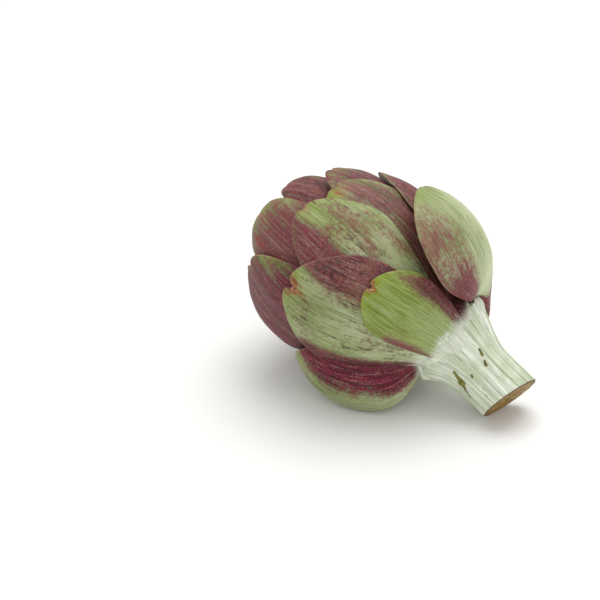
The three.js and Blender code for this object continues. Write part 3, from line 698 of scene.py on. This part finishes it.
bractRows = [  # from the outermost inwards
    hoodedBract, centreBract, hiddenLowBract, frontBract, bellyBract,
    {"turn": -76, "root": 23, "tip": 98, "bulge": 5, "bulgeAt": 0.35, "stalk": 8, "purple": 0.1,
     "low": 0.7, "high": 0.7},
    streakedBract, skylineBract, collarBract,
    {"turn": 244, "root": 24, "tip": 112, "bulge": 1.5, "stalk": 7, "purple": 0.25, "low": 0.8,
     "high": 0.8},
    lowerLeftBract,
    {"turn": 182, "root": 26, "tip": 124, "bulge": 1, "purple": 0.9},
    upperBract, redSpotBract,
    {"turn": -66, "root": 27, "tip": 124, "bulge": 1, "purple": 0.75},
    {"turn": 215, "root": 27, "tip": 138, "purple": 0.8},
    {"turn": 272, "root": 29, "tip": 142, "purple": 0.8},
    {"turn": 150, "root": 28, "tip": 152, "purple": 0.9},
    topBract,
    {"turn": -48, "root": 31, "tip": 156, "halfWidth": 25, "purple": 0.9},
    {"turn": -18, "root": 33, "tip": 168, "halfWidth": 22, "purple": 0.9},
    {"turn": 232, "root": 31, "tip": 158, "halfWidth": 25, "purple": 0.8},
    {"turn": 112, "root": 31, "tip": 168, "halfWidth": 24, "purple": 0.9},
    {"turn": 188, "root": 32, "tip": 168, "halfWidth": 24, "purple": 0.8},
    {"turn": -76, "root": 33, "tip": 170, "halfWidth": 22, "purple": 0.9},
    {"turn": 45, "root": 33, "tip": 173, "halfWidth": 22, "purple": 0.8},
    {"turn": 150, "root": 35, "tip": 174, "halfWidth": 20, "purple": 0.8},
    {"turn": 262, "root": 36, "tip": 175, "halfWidth": 20, "purple": 0.8},
]
bractGrid = {"across": 60, "down": 76, "downWithStalk": 92}
smallNotch = 0.018
for index, row in enumerate(bractRows):
    number = index + 1
    leaf = packLeaf(row)
    leaf["widen"] += leaf["spread"]      # grown wider without pushing its neighbours
    leaf["puff"] += leaf["spread"] * 0.25
    leaf["notch"] = row.get("notch", smallNotch)
    down = bractGrid["downWithStalk"] if leaf["stalk"] else bractGrid["down"]
    piece = growLeaf(f"leaf{number:02d}", number, leaf, bractGrid["across"], down)
    piece.data.materials.append(leafSkin)
    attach(piece, "root")
    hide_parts(f"bract_{number:02d}")
print("bracts grown:", len(bractRows))

budValues = {
    "leaves": 7, "firstTurn": 10, "goldenTurn": 137.5, "root": 70, "firstTip": 170, "tipStep": 1,
    "halfWidth": 17, "neck": 9, "coreGap": 0.5, "coreStart": 34, "coreEnd": 172,
    "across": 28, "down": 44, "seed": 60,
}


def growBud():
    leaves = []
    for k in range(budValues["leaves"]):
        leaves.append(packLeaf({
            "turn": budValues["firstTurn"] + budValues["goldenTurn"] * k, "root": budValues["root"],
            "tip": budValues["firstTip"] + budValues["tipStep"] * k, "halfWidth": budValues["halfWidth"],
            "neck": budValues["neck"], "held": True, "purple": 0.75,
        }))
    depth = max(leaf["rootDepth"] for leaf in leaves) + budValues["coreGap"]
    deselect()
    bpy.ops.mesh.primitive_uv_sphere_add(segments=48, ring_count=32, radius=1, location=(0, 0, 0))
    core = bpy.context.object
    core.name = "innerBud"
    ball = vertexPlaces(core)
    start, end = budValues["coreStart"], budValues["coreEnd"]
    angle = np.radians(mix(start, end, np.arccos(np.clip(ball[:, 2], -1, 1)) / math.pi))
    around = np.arctan2(ball[:, 1], ball[:, 0])
    radius = headRadius(np.degrees(angle)) - depth
    places = direction(around, angle) * columns(radius)
    lowPole = ball[:, 2] > 0.99999       # both ends are closed on the head's own line
    tipPole = ball[:, 2] < -0.99999
    places[lowPole] = -tipAxis * (headRadius(start) - depth) * math.cos(math.radians(start))
    places[tipPole] = tipAxis * (headRadius(180) - depth)
    placeVertices(core, (headMiddle + places) * mm)
    mapFaces(core, around / math.tau + 0.5, np.degrees(angle) / 180)
    faceOutwards(core)
    for name in ("scar", "scarRed", "rim", "inside", "magenta", "yellow", "stalky", "creaseShade", "bloomAndHighlight"):
        paint(core, name, np.zeros(len(ball)))
    paint(core, "purple", np.full(len(ball), 0.4))
    paint(core, "pale", np.full(len(ball), 0.3))
    paint(core, "fleck", np.full(len(ball), 0.3))
    paint(core, "leafNumber", np.full(len(ball), 3.0))
    core.data.materials.append(leafSkin)
    parts = [core]
    for k, leaf in enumerate(leaves):
        number = budValues["seed"] + k
        part = growLeaf(f"budLeaf{k + 1}", number, leaf, budValues["across"], budValues["down"])
        part.data.materials.append(leafSkin)
        parts.append(part)
    deselect()
    for part in parts:
        part.select_set(True)
    bpy.context.view_layer.objects.active = core
    bpy.ops.object.join()
    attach(core, "root")
    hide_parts("inner_bracts")


growBud()
print("bud grown")


def growStem():
    around = stemValues["around"]
    turn = np.arange(around) / around * math.tau
    normal = np.array(stemValues["cutNormal"])
    normal /= np.linalg.norm(normal)
    rings, cut, down = [], [], []
    cutCentre, run, up = stemCentre(stemValues["length"])
    squareEnd = stemRing(stemValues["length"], turn)
    slant = run * columns(((cutCentre - squareEnd) @ normal) / (run @ normal))
    edge = squareEnd + slant
    for k in range(stemValues["cutRings"]):       # the cut face, from its middle to the rim
        share = (k + 1) / stemValues["cutRings"]
        dish = stemValues["cutRidge"] * math.exp(-(((share - 0.82) / 0.09) ** 2))
        dish = dish - stemValues["cutHollow"] * (1 - share**2)
        rough = stemValues["cutRough"] * np.sin(5 * turn + 9 * share) * math.sin(7 * share)
        rough = rough + stemValues["cutFine"] * np.sin(23 * turn + 31 * share)
        atRim = k == stemValues["cutRings"] - 1
        lift = np.zeros(around) if atRim else dish + rough * (1 - share**6)
        rings.append(cutCentre + (edge - cutCentre) * share + normal * np.reshape(lift, (-1, 1)))
        cut.append(np.full(around, 1.0))
        down.append(share)
    count = stemValues["skinRings"]
    for k in range(count):                        # the skin, from the rim to the head
        share = k / (count - 1)
        ring = stemRing(mix(stemValues["length"], stemValues["flareStart"], share), turn)
        ring = ring + slant * (1 - share) ** 1.5  # the slant of the cut dies away along the stem
        rings.append(edge - run * stemValues["chamfer"] if k == 0 else ring)
        cut.append(np.full(around, 0.6 if k == 0 else 0.0))
        down.append(1 + share)
    for distance, radius in stemValues["heart"]:
        rings.append(-tipAxis * distance + spoke(turn) * radius)
        cut.append(np.zeros(around))
        down.append(2.2)
    deselect()
    bpy.ops.mesh.primitive_circle_add(vertices=around, radius=1, fill_type="NOTHING", location=(0, 0, 0))
    stem = bpy.context.object
    stem.name = "stemSkin"
    bpy.ops.object.mode_set(mode="EDIT")
    bpy.ops.mesh.select_all(action="SELECT")
    for k in range(len(rings) - 1):
        bpy.ops.mesh.extrude_region_move(TRANSFORM_OT_translate={"value": (0, 0, 1)})
    bpy.ops.object.mode_set(mode="OBJECT")
    tube = vertexPlaces(stem)
    level = np.round(tube[:, 2]).astype(int)
    turned = np.mod(np.arctan2(tube[:, 1], tube[:, 0]), math.tau)
    step = np.round(turned / math.tau * around).astype(int) % around
    allRings = np.array(rings)
    places = headMiddle + allRings[level, step]
    places[:, 2] = np.maximum(places[:, 2], 0.0)
    placeVertices(stem, places * mm)
    mapFaces(stem, step / around, np.array(down)[level])
    paint(stem, "cut", np.array(cut)[level, step])
    paint(stem, "along", np.array(down)[level])
    paint(stem, "turned", turned / math.tau)
    far = mix(stemValues["length"], stemValues["flareStart"], np.clip(np.array(down)[level] - 1, 0, 1))
    degrees = np.degrees(turned)
    marks = np.zeros(len(turned))
    for farA, turnA, farB, turnB, width in stemValues["marks"]:
        alongMark = np.array([farB - farA, (turnB - turnA) * stemValues["degreeWidth"]])
        fromA = np.stack([far - farA, (degrees - turnA) * stemValues["degreeWidth"]], 1)
        part = np.clip(fromA @ alongMark / (alongMark @ alongMark), 0, 1)
        gap = np.linalg.norm(fromA - part[:, None] * alongMark, axis=1)
        marks = np.maximum(marks, 1 - smooth((gap - width * mix(0.3, 1.0, part) * 0.4) / 0.9))
    paint(stem, "mark", marks)
    pick(stem)
    bpy.ops.object.mode_set(mode="EDIT")   # both open ends are closed to a point
    bpy.ops.mesh.select_mode(type="EDGE")
    bpy.ops.mesh.select_all(action="DESELECT")
    bpy.ops.mesh.select_non_manifold(extend=False, use_boundary=True)
    bpy.ops.mesh.edge_face_add()
    bpy.ops.mesh.select_mode(type="FACE")
    bpy.ops.mesh.select_all(action="DESELECT")
    bpy.ops.object.mode_set(mode="OBJECT")
    for face in stem.data.polygons:
        face.select = len(face.vertices) > 4
    bpy.ops.object.mode_set(mode="EDIT")
    bpy.ops.mesh.poke()
    bpy.ops.mesh.select_all(action="SELECT")
    bpy.ops.mesh.normals_make_consistent(inside=False)
    bpy.ops.object.mode_set(mode="OBJECT")
    bpy.ops.object.shade_smooth_by_angle(angle=math.radians(50))
    return stem


stemSkin = {
    "pale": tone(230, 234, 220), "green": tone(180, 192, 156), "streak": tone(98, 108, 58),
    "mark": tone(128, 132, 52), "markDark": tone(84, 70, 30), "brown": tone(84, 56, 20),
    "cutPale": tone(176, 146, 78), "cutDark": tone(110, 74, 26), "roughness": 0.52,
}


def makeStemSkin(name, looks):
    material = bpy.data.materials.new(name)
    g = Graph(material)
    lines = g.stemPattern(10, 0.7)
    threads = g.stemPattern(42, 1.3, 4.0)
    hairline = g.stemPattern(12, 0.5, 2.0, 0.5)
    dashes = g.stemPattern(18, 5.0, 3.0)
    dust = g.grain(600, 4.0, 0.7)
    broad = g.grain(70, 2.0, 0.5)
    skin = g.blend(g.band(lines, 0.42, 0.62, 0.0, 0.8), looks["pale"], looks["green"])
    skin = g.blend(g.band(broad, 0.4, 0.65, 0.0, 0.7), skin, looks["green"])
    skin = g.blend(g.band(threads, 0.53, 0.66, 0.0, 0.6), skin, looks["streak"])
    thin = g.band(g.math("ABSOLUTE", g.math("ADD", hairline, -0.5)), 0.0, 0.014, 0.7, 0.0)
    skin = g.blend(thin, skin, looks["streak"])
    skin = g.blend(g.band(dashes, 0.66, 0.72, 0.0, 0.85), skin, looks["mark"])
    skin = g.blend(g.band(dust, 0.55, 0.72, 0.0, 0.45), skin, looks["pale"])
    mark = g.blend(g.band(dust, 0.42, 0.58), looks["markDark"], looks["mark"])
    marked = g.math("ADD", g.number("mark"), g.swing(dust, 1.6))
    skin = g.blend(g.band(marked, 0.3, 0.8), skin, mark)
    face = g.blend(g.band(dust, 0.35, 0.65), looks["cutDark"], looks["cutPale"])
    edge = g.math("ADD", g.number("along"), g.swing(dust, 0.5))
    face = g.blend(g.band(edge, 0.8, 1.0, 0.0, 0.85), face, looks["brown"])
    colour = g.blend(g.band(g.number("cut"), 0.1, 0.7), skin, face)
    g.put(g.shader.inputs["Base Color"], colour)
    g.shader.inputs["Roughness"].default_value = looks["roughness"]
    g.shader.inputs["Specular IOR Level"].default_value = 0.35
    height = g.math("ADD", g.math("MULTIPLY", lines, 0.8), g.math("MULTIPLY", threads, 0.6))
    height = g.math("ADD", height, g.math("MULTIPLY", dust, 0.3))
    g.bump(height, 0.55, 0.0006)
    return material


stem = growStem()
stem.data.materials.append(makeStemSkin("artichokeStem", stemSkin))
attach(stem, "root")
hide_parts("stem")
print("stem grown")

studio = {
    "floor": tone(238, 238, 236), "floorSoft": tone(232, 232, 230), "floorSize": 12,
    "sky": (1.0, 1.0, 1.0, 1.0), "skyStrength": 0.75,
    "keyPlace": (-0.05, 0.3, 1.1), "keyAim": (0, 0, 0.04), "keySize": (0.9, 0.9), "keyPower": 8.8,
    "fillPlace": (0.5, -0.9, 0.6), "fillAim": (0, 0, 0.05), "fillSize": (0.8, 0.6), "fillPower": 1.2,
}
photoView = {
    "azimuth": 32, "elevation": 30, "distance": 0.64, "lens": 85.0, "sensor": 36.0,
    "frame": 600, "headAt": (364, 279),   # the picture's width, and where the head's middle is in it
}


def makeFloor():
    deselect()
    bpy.ops.mesh.primitive_plane_add(size=studio["floorSize"], location=(0, 0, 0))
    floor = bpy.context.object
    floor.name = "floor"
    material = bpy.data.materials.new("floorPaper")
    g = Graph(material)
    soft = g.grain(3.0, 2.0, 0.5)
    paper = g.blend(g.band(soft, 0.2, 0.8, 0.0, 0.2), studio["floor"], studio["floorSoft"])
    g.put(g.shader.inputs["Base Color"], paper)
    g.shader.inputs["Roughness"].default_value = 0.85
    floor.data.materials.append(material)


def addSoftbox(name, place, aim, size, power):
    deselect()
    bpy.ops.object.light_add(type="AREA", location=place)
    lamp = bpy.context.object
    lamp.name = name
    lamp.data.shape = "RECTANGLE"
    lamp.data.size, lamp.data.size_y = size
    lamp.data.energy = power
    lamp.rotation_euler = (Vector(aim) - Vector(place)).to_track_quat("-Z", "Y").to_euler()


def lightStudio():
    bpy.context.scene.view_settings.view_transform = "Standard"
    world = bpy.data.worlds.new("studio")
    bpy.context.scene.world = world
    world.use_nodes = True
    sky = world.node_tree.nodes["Background"]
    sky.inputs[0].default_value = studio["sky"]
    sky.inputs[1].default_value = studio["skyStrength"]
    for name in ("key", "fill"):
        place, aim, size = studio[name + "Place"], studio[name + "Aim"], studio[name + "Size"]
        addSoftbox(name + "Softbox", place, aim, size, studio[name + "Power"])


def addCamera():
    azimuth, elevation = math.radians(photoView["azimuth"]), math.radians(photoView["elevation"])
    level = math.cos(elevation)
    back = Vector((math.sin(azimuth) * level, -math.cos(azimuth) * level, math.sin(elevation)))
    right = Vector((math.cos(azimuth), math.sin(azimuth), 0))
    up = back.cross(right)
    perPixel = photoView["distance"] * photoView["sensor"] / photoView["lens"] / photoView["frame"]
    across, down = [a - photoView["frame"] / 2 for a in photoView["headAt"]]
    middle = Vector([a * mm for a in headValues["middle"]])
    camera = bpy.data.cameras.new("photoCamera")
    camera.lens, camera.sensor_width = photoView["lens"], photoView["sensor"]
    camera.clip_start = 0.01
    shown = bpy.data.objects.new("photoCamera", camera)
    bpy.context.collection.objects.link(shown)
    shown.location = middle + back * photoView["distance"]
    shown.location += up * (down * perPixel) - right * (across * perPixel)
    shown.rotation_euler = back.to_track_quat("Z", "Y").to_euler()
    bpy.context.scene.camera = shown


makeFloor()
lightStudio()
addCamera()
print("studio ready")
